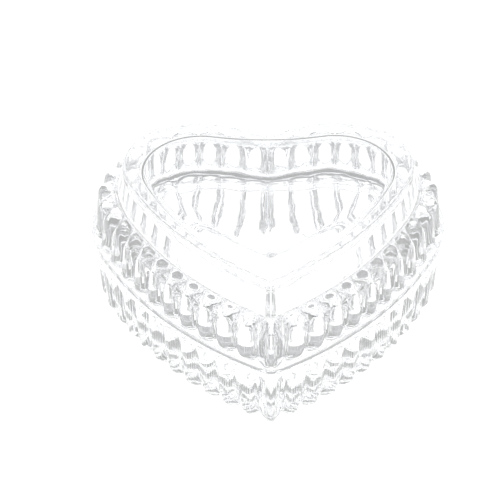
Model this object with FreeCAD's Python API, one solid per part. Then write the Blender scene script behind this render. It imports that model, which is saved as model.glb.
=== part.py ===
"""Heart-shaped trinket box of clear pressed glass: a ribbed dish and the ribbed lid that rests on it.

Both pieces share one heart outline. A section is that outline moved in by an inset and placed at a height,
and each wall is a loft through such sections. Millimetres, +Z up. The point of the heart faces -Y, and the
origin is at the middle of the footprint, on the surface that the dish stands on.
"""

import FreeCAD
import Part

import math
import os

# Driving dimensions
WIDTH = 90.0
HEIGHT = 40.0
PARTING_Z = 18.6

# Heart outline at the rim: in each half a flank arc runs into a round lobe. The hollow has a wider notch
LOBE_R = 28.0
FLANK_R = 98.5
FLANK_JOIN_DEG = -21.0
NOTCH_R = 2.4
HOLLOW_NOTCH_R = 58.0
TIP_R = 3.0
TIP_R_LEAST = 1.6

# Rim bands that meet at the parting line
BAND_H = 1.5
BAND_EDGE = 0.35

# Ribs
RIBS_PER_SIDE = 20
RIB_R = 3.2
RIB_CREST_AT_BAND = 1.0
LID_RIB_CREST_AT_END = 1.6
BASE_RIB_CREST_AT_END = 2.4
RIB_SPACING_INSET = 4.0
RIB_DEPTH = 1.5
KEEL_HALF_WIDTH = 3.4

# Lid
LID_RIB_END_Z = HEIGHT - 12.4
LID_WALL_TOP = (4.6, HEIGHT - 11.0)
LID_SHOULDER_LOW = (6.0, HEIGHT - 9.2)
LID_SHOULDER_HIGH = (8.0, HEIGHT - 2.0)
LID_TOP_EDGE = (9.2, HEIGHT - 0.8)
LID_CROWN_MIDDLE = (17.0, HEIGHT - 0.25)
LID_CROWN_FLAT = (24.0, HEIGHT)
LID_CEILING_EDGE = (14.6, HEIGHT - 4.9)
LID_CEILING_FLAT = (18.5, HEIGHT - 4.5)
HOLLOW_INSET = 12.0
HOLLOW_LEAN = 0.6
HOLLOW_TOP_Z = HEIGHT - 6.8

# Lip under the lid that drops inside the mouth of the dish
LIP_DROP = 1.4
LIP_WIDTH = 1.2
LIP_CLEARANCE = 0.4

# Dish
FLOOR_Z = 6.0
BASE_RIB_END_Z = 3.5
BASE_WALL_FOOT = (4.7, 4.2)
FOOT_OUTER = 7.2
FOOT_INNER = 11.5
FOOT_RECESS_H = 0.8
DISH_MOUTH_INSET = HOLLOW_INSET - LIP_WIDTH - LIP_CLEARANCE
DISH_HOLLOW_FOOT = (HOLLOW_INSET + 0.4, FLOOR_Z + 4.0)
DISH_FLOOR_INSET = HOLLOW_INSET + 4.4

FILLET_STEPS = 5
OVERRUN = 2.0


def centres():
    """Centres of the right lobe and of its flank arc, before the box is centred."""
    join = math.radians(FLANK_JOIN_DEG)
    lobe = (WIDTH / 2 - LOBE_R, 0.0)
    flank = (lobe[0] + (LOBE_R - FLANK_R) * math.cos(join), lobe[1] + (LOBE_R - FLANK_R) * math.sin(join))
    return lobe, flank


LOBE_C, FLANK_C = centres()


def tip_centre_y(inset, tip_r):
    return FLANK_C[1] - math.sqrt((FLANK_R - inset - tip_r) ** 2 - FLANK_C[0] ** 2)


LOWEST_Y = tip_centre_y(0.0, TIP_R) - TIP_R
HIGHEST_Y = LOBE_R
SHIFT_Y = -(LOWEST_Y + HIGHEST_Y) / 2


def half_arcs(inset, notch_r=NOTCH_R):
    """Right half from point to notch: (centre, radius, start angle, end angle) of each arc, in radians."""
    tip_r = max(TIP_R - inset, TIP_R_LEAST)
    tip = (0.0, tip_centre_y(inset, tip_r))
    tip_join = math.atan2(tip[1] - FLANK_C[1], tip[0] - FLANK_C[0])
    flank_join = math.radians(FLANK_JOIN_DEG)
    notch = (0.0, math.sqrt((LOBE_R + notch_r) ** 2 - LOBE_C[0] ** 2))
    notch_join = math.atan2(notch[1] - LOBE_C[1], -LOBE_C[0])
    return [
        (tip, tip_r, -math.pi / 2, tip_join),
        (FLANK_C, FLANK_R - inset, tip_join, flank_join),
        (LOBE_C, LOBE_R - inset, flank_join, notch_join),
        (notch, notch_r + inset, notch_join - math.pi, -math.pi / 2),
    ]


def on_arc(arc, share, z, mirror=1):
    (cx, cy), radius, start, end = arc
    angle = start + share * (end - start)
    x = cx + radius * math.cos(angle)
    y = cy + radius * math.sin(angle)
    return FreeCAD.Vector(mirror * x, y + SHIFT_Y, z)


def outline(inset, z, notch_r=NOTCH_R):
    """Closed wire of the heart at an inset and a height."""
    tip, flank, lobe, notch = half_arcs(inset, notch_r)
    edges = [Part.Arc(on_arc(tip, 1, z, -1), on_arc(tip, 0, z), on_arc(tip, 1, z))]
    for arc in (flank, lobe):
        edges.append(Part.Arc(on_arc(arc, 0, z), on_arc(arc, 0.5, z), on_arc(arc, 1, z)))
    edges.append(Part.Arc(on_arc(notch, 0, z), on_arc(notch, 1, z), on_arc(notch, 0, z, -1)))
    for arc in (lobe, flank):
        edges.append(Part.Arc(on_arc(arc, 1, z, -1), on_arc(arc, 0.5, z, -1), on_arc(arc, 0, z, -1)))
    return Part.Wire([edge.toShape() for edge in edges])


def stack(*sections, notch_r=NOTCH_R):
    """Solid lofted through (inset, height) sections."""
    return Part.makeLoft([outline(inset, z, notch_r) for inset, z in sections], True, True)


def hollow(*sections):
    """Solid lofted through sections of the inner heart, whose notch is wider and shallower."""
    return stack(*sections, notch_r=HOLLOW_NOTCH_R)


def fillet(start, end, steps=FILLET_STEPS):
    """Sections of a quarter ellipse from a wall at start to a flat face at end, both ends included."""
    sections = []
    for step in range(steps + 1):
        angle = math.pi / 2 * step / steps
        inset = end[0] + (start[0] - end[0]) * math.cos(angle)
        z = start[1] + (end[1] - start[1]) * math.sin(angle)
        sections.append((inset, z))
    return sections


def band(z):
    """Plain rim band with eased edges, from z upwards."""
    return stack((BAND_EDGE, z), (0, z + BAND_EDGE), (0, z + BAND_H - BAND_EDGE), (BAND_EDGE, z + BAND_H))


def rib_stations():
    """Rim point and outward normal of each rib on the right side, evenly spaced from point to notch."""
    arcs = half_arcs(0.0)
    signs = [1, 1, 1, -1]
    lengths = []
    for (_, radius, start, end), sign in zip(arcs, signs):
        lengths.append((radius - sign * RIB_SPACING_INSET) * abs(end - start))
    pitch = sum(lengths) / (RIBS_PER_SIDE + 0.5)
    stations = []
    for rib in range(1, RIBS_PER_SIDE + 1):
        left = rib * pitch
        arc = 0
        while left > lengths[arc]:
            left -= lengths[arc]
            arc += 1
        (cx, cy), radius, start, end = arcs[arc]
        angle = start + left / lengths[arc] * (end - start)
        normal = FreeCAD.Vector(math.cos(angle), math.sin(angle), 0)
        point = FreeCAD.Vector(cx, cy + SHIFT_Y, 0) + normal * radius
        stations.append((point, normal * signs[arc]))
    return stations


def finger(foot, end):
    """Round rib from foot to end, with a ball at its end."""
    axis = end - foot
    shaft = Part.makeCylinder(RIB_R, axis.Length, foot, axis)
    return shaft.fuse(Part.makeSphere(RIB_R, end))


def ribs(band_z, end_z, crest_at_end):
    """Every round rib between the rim band and the ball ends, leaning in as it leaves the band."""
    fingers = []
    for point, normal in rib_stations():
        for mirror in (1, -1):
            foot = point - normal * (RIB_CREST_AT_BAND + RIB_R)
            end = point - normal * (crest_at_end + RIB_R)
            foot = FreeCAD.Vector(mirror * foot.x, foot.y, band_z)
            end = FreeCAD.Vector(mirror * end.x, end.y, end_z)
            fingers.append(finger(foot, end))
    return fingers


def keel(band_z, end_z, tip_z, crest_at_end):
    """Square-edged rib at the point of the heart, running out to nothing at tip_z."""

    def diamond(crest, half, z):
        y = LOWEST_Y + SHIFT_Y + crest
        corners = [(0, y), (half, y + half), (0, y + 2 * half), (-half, y + half), (0, y)]
        return Part.makePolygon([FreeCAD.Vector(px, py, z) for px, py in corners])

    return Part.makeLoft(
        [
            diamond(RIB_CREST_AT_BAND, KEEL_HALF_WIDTH, band_z),
            diamond(crest_at_end, KEEL_HALF_WIDTH, end_z),
            diamond(crest_at_end + KEEL_HALF_WIDTH, KEEL_HALF_WIDTH / 2, tip_z),
        ],
        True,
        True,
    )


def lid():
    """Ribbed wall, sloping shoulder and crowned heart on top, hollow beneath, with a rim band and a lip."""
    core = stack(
        (RIB_CREST_AT_BAND + RIB_DEPTH - BAND_EDGE, PARTING_Z),
        LID_WALL_TOP,
        LID_SHOULDER_LOW,
        *fillet(LID_SHOULDER_HIGH, LID_TOP_EDGE),
        LID_CROWN_MIDDLE,
        LID_CROWN_FLAT,
    )
    rib_foot = PARTING_Z + BAND_H / 2
    added = ribs(rib_foot, LID_RIB_END_Z, LID_RIB_CREST_AT_END)
    added.append(keel(rib_foot, LID_RIB_END_Z, LID_RIB_END_Z + RIB_R, LID_RIB_CREST_AT_END))
    lip_foot = PARTING_Z - LIP_DROP
    lip = hollow(
        (HOLLOW_INSET - LIP_WIDTH + BAND_EDGE, lip_foot),
        (HOLLOW_INSET - LIP_WIDTH, lip_foot + BAND_EDGE),
        (HOLLOW_INSET - LIP_WIDTH, PARTING_Z + BAND_H),
    )
    body = core.fuse(band(PARTING_Z)).fuse(lip).multiFuse(added)
    cavity = hollow(
        (HOLLOW_INSET, lip_foot - OVERRUN),
        (HOLLOW_INSET, lip_foot),
        *fillet((HOLLOW_INSET + HOLLOW_LEAN, HOLLOW_TOP_Z), LID_CEILING_EDGE),
        LID_CEILING_FLAT,
    )
    return body.cut(cavity).removeSplitter()


def base():
    """Ribbed dish on a raised foot, with a plain band at its rim."""
    band_foot = PARTING_Z - BAND_H
    core = stack(
        (FOOT_OUTER, 0.0),
        BASE_WALL_FOOT,
        (RIB_CREST_AT_BAND + RIB_DEPTH - BAND_EDGE, PARTING_Z),
    )
    rib_foot = PARTING_Z - BAND_H / 2
    added = ribs(rib_foot, BASE_RIB_END_Z, BASE_RIB_CREST_AT_END)
    added.append(keel(rib_foot, BASE_RIB_END_Z, BASE_RIB_END_Z - RIB_R, BASE_RIB_CREST_AT_END))
    body = core.fuse(band(band_foot)).multiFuse(added)
    inside = list(reversed(fillet(DISH_HOLLOW_FOOT, (DISH_FLOOR_INSET, FLOOR_Z))))
    cavity = hollow(*inside, (DISH_MOUTH_INSET, PARTING_Z), (DISH_MOUTH_INSET, PARTING_Z + OVERRUN))
    recess = stack((FOOT_INNER, -OVERRUN), (FOOT_INNER, 0.0), (FOOT_INNER + FOOT_RECESS_H, FOOT_RECESS_H))
    return body.cut(cavity).cut(recess).removeSplitter()


def main():
    os.makedirs("parts", exist_ok=True)
    for name, shape in (("base_dish", base()), ("lid", lid())):
        box = shape.BoundBox
        print(
            f"{name}: solids {len(shape.Solids)}, valid {shape.isValid()}, "
            f"volume {shape.Volume / 1000:.2f} cm3, "
            f"x {box.XMin:.2f} to {box.XMax:.2f}, y {box.YMin:.2f} to {box.YMax:.2f}, "
            f"z {box.ZMin:.2f} to {box.ZMax:.2f}"
        )
        shape.exportStep(f"parts/{name}.step")


main()
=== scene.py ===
import math

import bpy
import numpy as np
from mathutils import Matrix, Vector


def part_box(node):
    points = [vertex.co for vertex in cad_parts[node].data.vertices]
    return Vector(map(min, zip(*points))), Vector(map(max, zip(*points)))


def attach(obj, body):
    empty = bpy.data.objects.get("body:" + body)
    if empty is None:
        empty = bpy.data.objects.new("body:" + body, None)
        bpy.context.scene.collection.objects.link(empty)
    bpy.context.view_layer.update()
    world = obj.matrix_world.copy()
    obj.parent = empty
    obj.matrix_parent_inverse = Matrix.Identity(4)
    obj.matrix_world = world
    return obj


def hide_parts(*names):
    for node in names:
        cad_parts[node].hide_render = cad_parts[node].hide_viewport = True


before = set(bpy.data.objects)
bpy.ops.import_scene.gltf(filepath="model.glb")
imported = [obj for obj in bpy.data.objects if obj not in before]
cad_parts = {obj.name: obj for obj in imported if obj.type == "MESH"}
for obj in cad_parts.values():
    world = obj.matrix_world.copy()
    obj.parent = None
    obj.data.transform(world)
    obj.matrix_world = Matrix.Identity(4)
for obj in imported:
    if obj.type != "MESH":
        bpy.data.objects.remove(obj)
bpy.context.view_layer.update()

# Driving dimensions, all read from the frame, in metres
LID_LOW, LID_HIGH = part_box("lid")
DISH_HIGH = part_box("base_dish")[1]
WIDTH = LID_HIGH.x - LID_LOW.x
HEIGHT = LID_HIGH.z
PARTING = DISH_HIGH.z
MM = WIDTH / 90.0

# The arcs of each half, from the point of the heart round to the notch
TIP, FLANK, LOBE, NOTCH = range(4)

# Heart outline at the rim
LOBE_R = 28.0 * MM
FLANK_R = 98.5 * MM
FLANK_JOIN = math.radians(-21.0)
NOTCH_R = 2.4 * MM
HOLLOW_NOTCH_R = 58.0 * MM
TIP_R = 3.0 * MM
TIP_R_LEAST = 0.5 * MM

# Columns of the tip arc. Where its end moves along the flank, the flank's columns close by squeeze up, over
# an angle of at least TIP_SQUEEZE and at least SQUEEZE_PER_MOVE times the move
TIP_COLUMNS = 6
TIP_SQUEEZE = math.radians(12.0)
SQUEEZE_PER_MOVE = 2.5

# Ribs, and the rows and columns of the mesh over them
RIBS_PER_SIDE = 20
RIB_R = 3.2 * MM
RIB_HALF_PITCH = 3.1 * MM
RIB_SPACING_INSET = 4.0 * MM
COLUMNS_PER_RIB = 16
LID_RIB_ROWS = 26
DISH_RIB_ROWS = 30

# Least space, in steps, between the last column of the tip arc and the first of the flank
LEAST_GAP = 0.3

# Rim bands that meet at the parting line, with eased edges and a step in to the ribs, and the gap that keeps
# the two seats from sharing one plane
BAND_H = 1.5 * MM
BAND_EDGE = 0.35 * MM
BAND_ROOT = 0.9 * MM
BAND_SLOPE = 0.05 * MM
SEAT_OUTER = 0.7 * MM
SEAT_INNER = 3.0 * MM
SEAT_GAP = 0.04 * MM
LID_SEAT_Z = PARTING + SEAT_GAP
DISH_SEAT_Z = PARTING - SEAT_GAP
LID_BAND_Z = PARTING + BAND_H
DISH_BAND_Z = PARTING - BAND_H

# Steps of the rounded edges and of the straight walls
SMALL_STEPS = 3
MOUTH_STEPS = 4
EDGE_STEPS = 8
CORNER_STEPS = 10
COVE_STEPS = 18
WALL_STEPS = 6
DISH_WALL_STEPS = 5


def corner(inset, z, base=0.0):
    """Profile point at an inset from the outline and a height z over base, both in millimetres."""
    return inset * MM, base + z * MM


# Inset at which the last ring closes the middle of a face
MIDDLE_INSET = 26.0 * MM

# Lid, outside: crowned top, smooth shoulder, and ribs between their crests and the valleys
CROWN = 0.8 * MM
CROWN_EDGE = 10.0 * MM
CROWN_STEPS = 10
LID_TOP_EDGE = corner(9.2, -0.05, HEIGHT - CROWN)
LID_SHOULDER_HIGH = corner(8.0, -1.25, HEIGHT - CROWN)
LID_SHOULDER_LOW = corner(6.3, -8.8, HEIGHT)
LID_RIB_ROOT = corner(6.1, -9.2, HEIGHT)
LID_CREST_HIGH = corner(4.4, -9.2, HEIGHT)
LID_CREST_LOW = corner(1.5, -12.0, HEIGHT)
LID_CREST_FOOT = corner(1.0, 0.35, LID_BAND_Z)
LID_VALLEY = [
    corner(5.5, -9.9, HEIGHT),
    corner(4.8, -10.8, HEIGHT),
    corner(4.4, -12.0, HEIGHT),
    corner(3.0, 0.35, LID_BAND_Z),
]

# Inset of the hollow's wall at the parting line, in millimetres
HOLLOW_WALL = 12.0

# Locating lip, and the hollow of the lid above it
LIP_FOOT = PARTING - 1.4 * MM
LIP_ROOT = corner(HOLLOW_WALL - 1.3, 0.0, LID_SEAT_Z)
LIP_NECK = corner(HOLLOW_WALL - 1.15, -0.2, LID_SEAT_Z)
LIP_OUTER = corner(HOLLOW_WALL - 1.05, 0.4, LIP_FOOT)
LIP_FLAT_OUTER = corner(HOLLOW_WALL - 0.65, 0.0, LIP_FOOT)
LIP_FLAT_INNER = corner(HOLLOW_WALL - 0.35, 0.0, LIP_FOOT)
LIP_INNER = corner(HOLLOW_WALL, 0.4, LIP_FOOT)
LID_HOLLOW_TOP = corner(HOLLOW_WALL + 0.6, -6.8, HEIGHT)
CEILING_COVE = corner(14.6, -4.9, HEIGHT)
CEILING_SLOPE = corner(16.1, -4.7, HEIGHT)
CEILING_EDGE = corner(18.5, -4.5, HEIGHT)
CEILING_FLAT = corner(19.0, -4.5, HEIGHT)

# Hollow of the dish
FLOOR_Z = 6.0 * MM
FLOOR_FLAT = corner(HOLLOW_WALL + 3.2, 0.0, FLOOR_Z)
FLOOR_EDGE = corner(HOLLOW_WALL + 3.0, 0.0, FLOOR_Z)
DISH_WALL_FOOT = corner(HOLLOW_WALL + 0.4, 2.6, FLOOR_Z)
DISH_WALL_TOP = corner(HOLLOW_WALL - 1.6, -0.4, DISH_SEAT_Z)
DISH_MOUTH = corner(HOLLOW_WALL - 2.0, 0.0, DISH_SEAT_Z)

# Dish, outside: ribs between their crests and the valleys, with bead-like ends, and the foot with its recess
DISH_CREST_TOP = corner(1.0, -0.35, DISH_BAND_Z)
DISH_CREST_LOW = corner(2.1, 3.0)
DISH_CREST_END = corner(5.0, 0.3)
DISH_RIB_ROOT = corner(7.0, 0.15)
DISH_VALLEY = [
    corner(2.8, -0.35, DISH_BAND_Z),
    corner(4.2, 2.6),
    corner(4.8, 1.5),
    corner(5.8, 0.6),
]
FOOT_RING = [corner(inset, 0.0) for inset in (7.4, 8.0, 11.2)]
FOOT_RECESS = [corner(11.6, 0.1), corner(12.2, 0.7), corner(12.6, 0.8), (MIDDLE_INSET, 0.8 * MM)]

# Glass
GLASS_TINT = (0.985, 0.99, 0.995, 1.0)
GLASS_IOR = 1.52
RIPPLES_PER_M = 140.0
RIPPLE_DETAIL = 1.5
RIPPLE_STRENGTH = 0.25
RIPPLE_DEPTH = 0.25 * MM
POLISH_MARKS_PER_M = 620.0
POLISH_DETAIL = 2.0
ROUGHEST = 0.03

# White floor with a painted pool of light and a painted glow round the box, both fading with the distance
# from the box, in metres
FLOOR_SIZE = 6.0
FLOOR_GAP = 0.2 * MM
FLOOR_ROUGHNESS = 0.9
PAINTED_POOL_RADIUS = 0.18
PAINTED_FADE_RADIUS = 0.55
NEAR_FLOOR_PAINTED_LIGHT = 0.82
FAR_FLOOR_PAINTED_LIGHT = 0.4
NEAR_PAINTED_GLOW = 0.45
FAR_PAINTED_GLOW = 0.12

# Room light: heights and sides are those of a direction of length one
ROOF_LOW = 0.62
ROOF_HIGH = 0.95
ROOF_LEVEL = 1.7
SWEEP_SIDE = -0.3
SWEEP_FULL = 0.3
FRONT_LEVEL = 0.5
BACK_LEVEL = 0.45

# Camera: a long lens before and above the box, aimed a little to its left and below its middle
CAMERA_ELEVATION = math.radians(37.0)
CAMERA_TURN = math.radians(-0.5)
CAMERA_DISTANCE = 1.2
CAMERA_REACH = 20.0
VIEW_WIDTH = 127.753 * MM
AIM_HEIGHT = 0.4 * HEIGHT
AIM_LEFT = 4.625 * MM
AIM_DOWN = 3.309 * MM

# Centres of the right lobe and of its flank arc
LOBE_C = (WIDTH / 2 - LOBE_R, 0.0)
FLANK_C = (
    LOBE_C[0] + (LOBE_R - FLANK_R) * math.cos(FLANK_JOIN),
    LOBE_C[1] + (LOBE_R - FLANK_R) * math.sin(FLANK_JOIN),
)


def notch_arc(notch_r):
    """Height of the notch arc's centre over the lobe centres, and the angle on the lobe where it joins."""
    height = math.sqrt((LOBE_R + notch_r) ** 2 - LOBE_C[0] ** 2)
    return height, math.atan2(height, -LOBE_C[0])


NOTCH_JOIN = notch_arc(NOTCH_R)[1]


def tip_arc(inset):
    """Radius, centre height and end angle of the small arc at the point, for an array of insets."""
    radius = np.maximum(TIP_R - inset, TIP_R_LEAST)
    centre = FLANK_C[1] - np.sqrt((FLANK_R - inset - radius) ** 2 - FLANK_C[0] ** 2)
    join = np.arctan2(centre - FLANK_C[1], -FLANK_C[0])
    return radius, centre, join


TIP_JOIN = float(tip_arc(np.array(0.0))[2])

# The outline is worked out about the lobes' centre line, and this moves it to the frame's origin
SHIFT_Y = DISH_HIGH.y - LOBE_R


def half_columns():
    """Columns of the right half from point to notch: (arc number, angle or share, rib phase)."""
    flank_r = FLANK_R - RIB_SPACING_INSET
    lobe_r = LOBE_R - RIB_SPACING_INSET
    notch_r = NOTCH_R + RIB_SPACING_INSET
    tip_span = (TIP_R - RIB_SPACING_INSET) * (TIP_JOIN + math.pi / 2)
    flank_span = flank_r * (FLANK_JOIN - TIP_JOIN)
    lobe_span = lobe_r * (NOTCH_JOIN - FLANK_JOIN)
    total = tip_span + flank_span + lobe_span + notch_r * (NOTCH_JOIN - math.pi / 2)
    pitch = total / (RIBS_PER_SIDE + 0.5)
    step = pitch / COLUMNS_PER_RIB
    columns = [(TIP, share / TIP_COLUMNS, 0.0) for share in range(TIP_COLUMNS + 1)]
    count = int((total - tip_span) / step - LEAST_GAP)
    for k in range(count, -1, -1):
        at = total - k * step
        phase = at / pitch
        left = at - tip_span
        if left < flank_span:
            columns.append((FLANK, TIP_JOIN + left / flank_r, phase))
        elif left < flank_span + lobe_span:
            columns.append((LOBE, FLANK_JOIN + (left - flank_span) / lobe_r, phase))
        else:
            turn = (left - flank_span - lobe_span) / notch_r
            columns.append((NOTCH, NOTCH_JOIN - math.pi - turn, phase))
    return columns


COLUMNS = half_columns()
COLUMN_ARC = np.array([column[0] for column in COLUMNS])
COLUMN_AT = np.array([column[1] for column in COLUMNS])
COLUMN_PHASE = np.array([column[2] for column in COLUMNS])


def rib_rise():
    """How far each column stands between the valley (0) and the crest (1) of its rib.

    The ribs are round, but for the one at the point of the heart, which has a keel's edge.
    """
    phase = np.maximum(COLUMN_PHASE, 0.0)
    across = 2.0 * np.abs(phase - np.round(phase))
    valley = math.sqrt(RIB_R**2 - RIB_HALF_PITCH**2)
    rise = (np.sqrt(RIB_R**2 - (across * RIB_HALF_PITCH) ** 2) - valley) / (RIB_R - valley)
    rise = np.where(phase < 0.5, 1.0 - across, rise)
    return np.clip(rise, 0.0, 1.0)


RISE = rib_rise()


def half_ring(inset, notch_r):
    """x and y of every column of the right half at its own inset, for a heart with this notch radius."""
    x = np.zeros(len(COLUMNS))
    y = np.zeros(len(COLUMNS))
    radius, centre, join = tip_arc(inset)
    tip = COLUMN_ARC == TIP
    angle = -math.pi / 2 + COLUMN_AT * (join + math.pi / 2)
    x[tip] = (radius * np.cos(angle))[tip]
    y[tip] = (centre + radius * np.sin(angle))[tip]
    flank = COLUMN_ARC == FLANK
    moved = join - TIP_JOIN
    reach = np.maximum(TIP_SQUEEZE, SQUEEZE_PER_MOVE * moved)
    angle = COLUMN_AT + moved * np.maximum(0.0, 1.0 - (COLUMN_AT - TIP_JOIN) / reach) ** 2
    x[flank] = (FLANK_C[0] + (FLANK_R - inset) * np.cos(angle))[flank]
    y[flank] = (FLANK_C[1] + (FLANK_R - inset) * np.sin(angle))[flank]
    height, notch_join = notch_arc(notch_r)
    lobe = COLUMN_ARC == LOBE
    angle = FLANK_JOIN + (COLUMN_AT - FLANK_JOIN) * (notch_join - FLANK_JOIN) / (NOTCH_JOIN - FLANK_JOIN)
    x[lobe] = (LOBE_C[0] + (LOBE_R - inset) * np.cos(angle))[lobe]
    y[lobe] = (LOBE_C[1] + (LOBE_R - inset) * np.sin(angle))[lobe]
    notch = COLUMN_ARC == NOTCH
    middle = -math.pi / 2
    angle = middle + (COLUMN_AT - middle) * (notch_join - math.pi - middle) / (NOTCH_JOIN - math.pi - middle)
    x[notch] = ((notch_r + inset) * np.cos(angle))[notch]
    y[notch] = (height + (notch_r + inset) * np.sin(angle))[notch]
    x[0] = 0.0
    x[-1] = 0.0
    return x, y + SHIFT_Y


def ring(inset, z, notch_r=NOTCH_R):
    """Closed ring of points round the heart; inset and z are numbers or one value per column."""
    inset = np.broadcast_to(np.asarray(inset, float), (len(COLUMNS),))
    z = np.broadcast_to(np.asarray(z, float), (len(COLUMNS),))
    x, y = half_ring(inset, notch_r)
    right = np.stack([x, y, z], 1)
    left = right[-2:0:-1] * np.array([-1.0, 1.0, 1.0])
    return np.concatenate([right, left])


def skin(name, rows):
    """Closed mesh through the rings, with a flat cap on the first and the last."""
    count = len(rows[0])
    points = np.concatenate(rows)
    faces = [tuple(range(count))]
    for row in range(len(rows) - 1):
        for k in range(count):
            nxt = (k + 1) % count
            a, b = row * count, (row + 1) * count
            faces.append((a + nxt, a + k, b + k, b + nxt))
    last = (len(rows) - 1) * count
    faces.append(tuple(last + k for k in range(count - 1, -1, -1)))
    mesh = bpy.data.meshes.new(name)
    mesh.from_pydata([tuple(p) for p in points], [], faces)
    mesh.validate()
    mesh.shade_smooth()
    piece = bpy.data.objects.new(name, mesh)
    bpy.context.scene.collection.objects.link(piece)
    return piece


def bend(start, end, steps, swap=False):
    """Quarter ellipse from start to end: it leaves along z, or along the inset when swapped."""
    path = []
    for step in range(steps + 1):
        angle = math.pi / 2 * step / steps
        across = 1.0 - math.cos(angle)
        along = math.sin(angle)
        if swap:
            across, along = along, across
        path.append((start[0] + (end[0] - start[0]) * across, start[1] + (end[1] - start[1]) * along))
    return path


def run(start, end, steps):
    """Straight run of profile points, the first one left out."""
    return [
        (start[0] + (end[0] - start[0]) * step / steps, start[1] + (end[1] - start[1]) * step / steps)
        for step in range(1, steps + 1)
    ]


def resample(path, count):
    """The same profile with count points whose insets are evenly spaced; insets only rise or only fall."""
    path = np.array(path)
    along = np.concatenate([[0.0], np.cumsum(np.abs(np.diff(path[:, 0])))])
    at = np.linspace(0.0, along[-1], count)
    return np.stack([np.interp(at, along, path[:, 0]), np.interp(at, along, path[:, 1])], 1)


def plain(path):
    """Rings of a smooth surface."""
    return [ring(inset, z) for inset, z in path]


def hollow(path):
    """Rings of the inner hollow, whose heart has a wider and shallower notch than the outside."""
    return [ring(inset, z, HOLLOW_NOTCH_R) for inset, z in path]


def ribbed(valley, crest, count):
    """Rings whose columns go between the valley path and the crest path with the ribs."""
    rows = []
    for (low_inset, low_z), (high_inset, high_z) in zip(resample(valley, count), resample(crest, count)):
        rows.append(ring(low_inset + (high_inset - low_inset) * RISE, low_z + (high_z - low_z) * RISE))
    return rows


def band(high, low):
    """Profile of a rim band with eased edges, from its top face down to its lower face."""
    path = bend((BAND_EDGE, high), (0.0, high - BAND_EDGE), SMALL_STEPS, swap=True)
    path.append((0.0, low + BAND_EDGE))
    path += bend((0.0, low + BAND_EDGE), (BAND_EDGE, low), SMALL_STEPS)[1:]
    return path


def lid_top():
    """Crowned top and smooth shoulder, from the middle of the lid outwards."""
    path = []
    for step in range(CROWN_STEPS + 1):
        share = step / CROWN_STEPS
        path.append((MIDDLE_INSET + (CROWN_EDGE - MIDDLE_INSET) * share, HEIGHT - CROWN * share**2))
    path += bend(LID_TOP_EDGE, LID_SHOULDER_HIGH, EDGE_STEPS, swap=True)
    path += run(LID_SHOULDER_HIGH, LID_SHOULDER_LOW, WALL_STEPS)
    return plain(path)


def lid_ribs():
    """Ribbed wall of the lid, from the shoulder down to the band."""
    crest = [LID_RIB_ROOT]
    crest += bend(LID_CREST_HIGH, LID_CREST_LOW, EDGE_STEPS, swap=True)
    crest.append(LID_CREST_FOOT)
    return ribbed([LID_RIB_ROOT] + LID_VALLEY, crest, LID_RIB_ROWS)


def lid_band():
    """Rim band of the lid and the seat below it."""
    path = [(BAND_ROOT, LID_BAND_Z + BAND_SLOPE)]
    path += band(LID_BAND_Z, LID_SEAT_Z)
    path += [(SEAT_OUTER, LID_SEAT_Z), (SEAT_INNER, LID_SEAT_Z)]
    return plain(path)


def lid_hollow():
    """Locating lip, hollow and ceiling of the lid, from the seat to the middle."""
    path = [LIP_ROOT, LIP_NECK]
    path += bend(LIP_OUTER, LIP_FLAT_OUTER, SMALL_STEPS)
    path += bend(LIP_FLAT_INNER, LIP_INNER, SMALL_STEPS, swap=True)
    path += run(LIP_INNER, LID_HOLLOW_TOP, WALL_STEPS)
    path += bend(LID_HOLLOW_TOP, CEILING_COVE, COVE_STEPS)[1:]
    path += [CEILING_SLOPE, CEILING_EDGE, CEILING_FLAT, (MIDDLE_INSET, CEILING_FLAT[1])]
    return hollow(path)


def lid_rows():
    """Every ring of the lid, from the middle of its top over the outside to the middle of its ceiling."""
    return lid_top() + lid_ribs() + lid_band() + lid_hollow()


def dish_hollow():
    """Floor, rounded corner, wall and mouth of the dish, from the middle outwards."""
    path = [(MIDDLE_INSET, FLOOR_Z), FLOOR_FLAT]
    path += bend(FLOOR_EDGE, DISH_WALL_FOOT, CORNER_STEPS, swap=True)
    path += run(DISH_WALL_FOOT, DISH_WALL_TOP, DISH_WALL_STEPS)
    path += bend(DISH_WALL_TOP, DISH_MOUTH, MOUTH_STEPS)[1:]
    return hollow(path)


def dish_band():
    """Seat of the dish and the rim band below it."""
    path = [(SEAT_INNER, DISH_SEAT_Z), (SEAT_OUTER, DISH_SEAT_Z)]
    path += band(DISH_SEAT_Z, DISH_BAND_Z)
    path.append((BAND_ROOT, DISH_BAND_Z - BAND_SLOPE))
    return plain(path)


def dish_ribs():
    """Ribbed wall of the dish, from the band down to the foot."""
    crest = [DISH_CREST_TOP]
    crest += bend(DISH_CREST_LOW, DISH_CREST_END, EDGE_STEPS)
    crest.append(DISH_RIB_ROOT)
    return ribbed(DISH_VALLEY + [DISH_RIB_ROOT], crest, DISH_RIB_ROWS)


def dish_rows():
    """Every ring of the dish, from the middle of its floor over the rim to the middle of its underside."""
    return dish_hollow() + dish_band() + dish_ribs() + plain(FOOT_RING + FOOT_RECESS)


def nodes_of(material):
    """Node tree of a material or world, switched on: its nodes and its links."""
    material.use_nodes = True
    return material.node_tree.nodes, material.node_tree.links


def noise(nodes, links, where, scale, detail):
    """Noise texture over object coordinates."""
    node = nodes.new("ShaderNodeTexNoise")
    node.inputs["Scale"].default_value = scale
    node.inputs["Detail"].default_value = detail
    links.new(where.outputs["Object"], node.inputs["Vector"])
    return node.outputs["Fac"]


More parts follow.
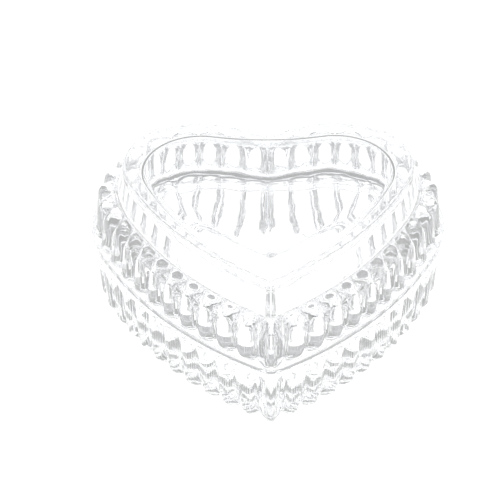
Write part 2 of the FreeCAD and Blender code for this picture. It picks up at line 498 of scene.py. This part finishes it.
def glass(name):
    """Clear pressed glass: faint ripples of the mould and the chill, and a polish that isn't quite even."""
    material = bpy.data.materials.new(name)
    nodes, links = nodes_of(material)
    shader = nodes["Principled BSDF"]
    shader.inputs["Base Color"].default_value = GLASS_TINT
    shader.inputs["Transmission Weight"].default_value = 1.0
    shader.inputs["IOR"].default_value = GLASS_IOR
    where = nodes.new("ShaderNodeTexCoord")
    ripple = nodes.new("ShaderNodeBump")
    ripple.inputs["Strength"].default_value = RIPPLE_STRENGTH
    ripple.inputs["Distance"].default_value = RIPPLE_DEPTH
    links.new(noise(nodes, links, where, RIPPLES_PER_M, RIPPLE_DETAIL), ripple.inputs["Height"])
    links.new(ripple.outputs["Normal"], shader.inputs["Normal"])
    polish = nodes.new("ShaderNodeMapRange")
    polish.inputs["To Min"].default_value = 0.0
    polish.inputs["To Max"].default_value = ROUGHEST
    links.new(noise(nodes, links, where, POLISH_MARKS_PER_M, POLISH_DETAIL), polish.inputs["Value"])
    links.new(polish.outputs["Result"], shader.inputs["Roughness"])
    return material


def ramp(nodes, links, source, low, high, start, end):
    """Smooth step of a socket from start to end as it goes from low to high."""
    node = nodes.new("ShaderNodeMapRange")
    node.interpolation_type = "SMOOTHSTEP"
    node.inputs["From Min"].default_value = low
    node.inputs["From Max"].default_value = high
    node.inputs["To Min"].default_value = start
    node.inputs["To Max"].default_value = end
    links.new(source, node.inputs["Value"])
    return node.outputs["Result"]


def floor():
    """Wide white floor with painted light: its colour and its painted glow are bright round the box and
    dimmer away from it.
    """
    bpy.ops.mesh.primitive_plane_add(size=FLOOR_SIZE, location=(0.0, 0.0, -FLOOR_GAP))
    plane = bpy.context.object
    plane.name = "floor"
    material = bpy.data.materials.new("floor_painted_glow")
    nodes, links = nodes_of(material)
    shader = nodes["Principled BSDF"]
    shader.inputs["Roughness"].default_value = FLOOR_ROUGHNESS
    # Painted glow: the floor gives off light of its own, though it is no lamp.
    shader.inputs["Emission Color"].default_value = (1.0, 1.0, 1.0, 1.0)
    where = nodes.new("ShaderNodeTexCoord")
    away = nodes.new("ShaderNodeVectorMath")
    away.operation = "LENGTH"
    links.new(where.outputs["Object"], away.inputs[0])
    # Painted pool of light: the floor's colour and glow are brightest near the box and fade away from it.
    painted_pool = ramp(nodes, links, away.outputs["Value"], PAINTED_POOL_RADIUS, PAINTED_FADE_RADIUS, NEAR_FLOOR_PAINTED_LIGHT, FAR_FLOOR_PAINTED_LIGHT)
    painted_glow = ramp(nodes, links, away.outputs["Value"], PAINTED_POOL_RADIUS, PAINTED_FADE_RADIUS, NEAR_PAINTED_GLOW, FAR_PAINTED_GLOW)
    links.new(painted_pool, shader.inputs["Base Color"])
    links.new(painted_glow, shader.inputs["Emission Strength"])
    plane.data.materials.append(material)


def studio():
    """Colourless room light: bright overhead and grey all round, a little darker behind the box."""
    world = bpy.data.worlds.new("studio")
    bpy.context.scene.world = world
    nodes, links = nodes_of(world)
    back = nodes["Background"]
    where = nodes.new("ShaderNodeTexCoord")
    split = nodes.new("ShaderNodeSeparateXYZ")
    links.new(where.outputs["Generated"], split.inputs["Vector"])
    high = ramp(nodes, links, split.outputs["Z"], ROOF_LOW, ROOF_HIGH, 0.0, 1.0)
    horizon = ramp(nodes, links, split.outputs["Y"], SWEEP_SIDE, SWEEP_FULL, FRONT_LEVEL, BACK_LEVEL)
    mix = nodes.new("ShaderNodeMix")
    links.new(high, mix.inputs["Factor"])
    links.new(horizon, mix.inputs["A"])
    mix.inputs["B"].default_value = ROOF_LEVEL
    links.new(mix.outputs["Result"], back.inputs["Color"])


def camera():
    """Camera before the point of the heart, looking down on the lid."""
    level = math.cos(CAMERA_ELEVATION)
    side = math.sin(CAMERA_TURN) * level
    ahead = -math.cos(CAMERA_TURN) * level
    back = Vector((side, ahead, math.sin(CAMERA_ELEVATION)))
    right = Vector((0, 0, 1)).cross(back).normalized()
    up = back.cross(right)
    aim = Vector((0.0, SHIFT_Y, AIM_HEIGHT)) - right * AIM_LEFT - up * AIM_DOWN
    data = bpy.data.cameras.new("camera")
    data.lens = CAMERA_DISTANCE / VIEW_WIDTH * data.sensor_width
    data.clip_end = CAMERA_REACH
    eye = bpy.data.objects.new("camera", data)
    bpy.context.scene.collection.objects.link(eye)
    axes = Matrix((right, up, back)).transposed().to_4x4()
    eye.matrix_world = Matrix.Translation(aim + back * CAMERA_DISTANCE) @ axes
    bpy.context.scene.camera = eye


def render_look():
    """Plain colours, and light paths long enough for the many walls of glass."""
    scene = bpy.context.scene
    scene.view_settings.view_transform = "Standard"
    scene.cycles.max_bounces = 40
    scene.cycles.transmission_bounces = 36
    scene.cycles.glossy_bounces = 24
    scene.cycles.blur_glossy = 0.0


for name, rows, body in (("pressed_lid", lid_rows(), "lid"), ("pressed_dish", dish_rows(), "dish")):
    piece = skin(name, rows)
    piece.data.materials.append(glass(name + "_glass"))
    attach(piece, body)
    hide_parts("lid" if body == "lid" else "base_dish")

floor()
studio()
camera()
render_look()
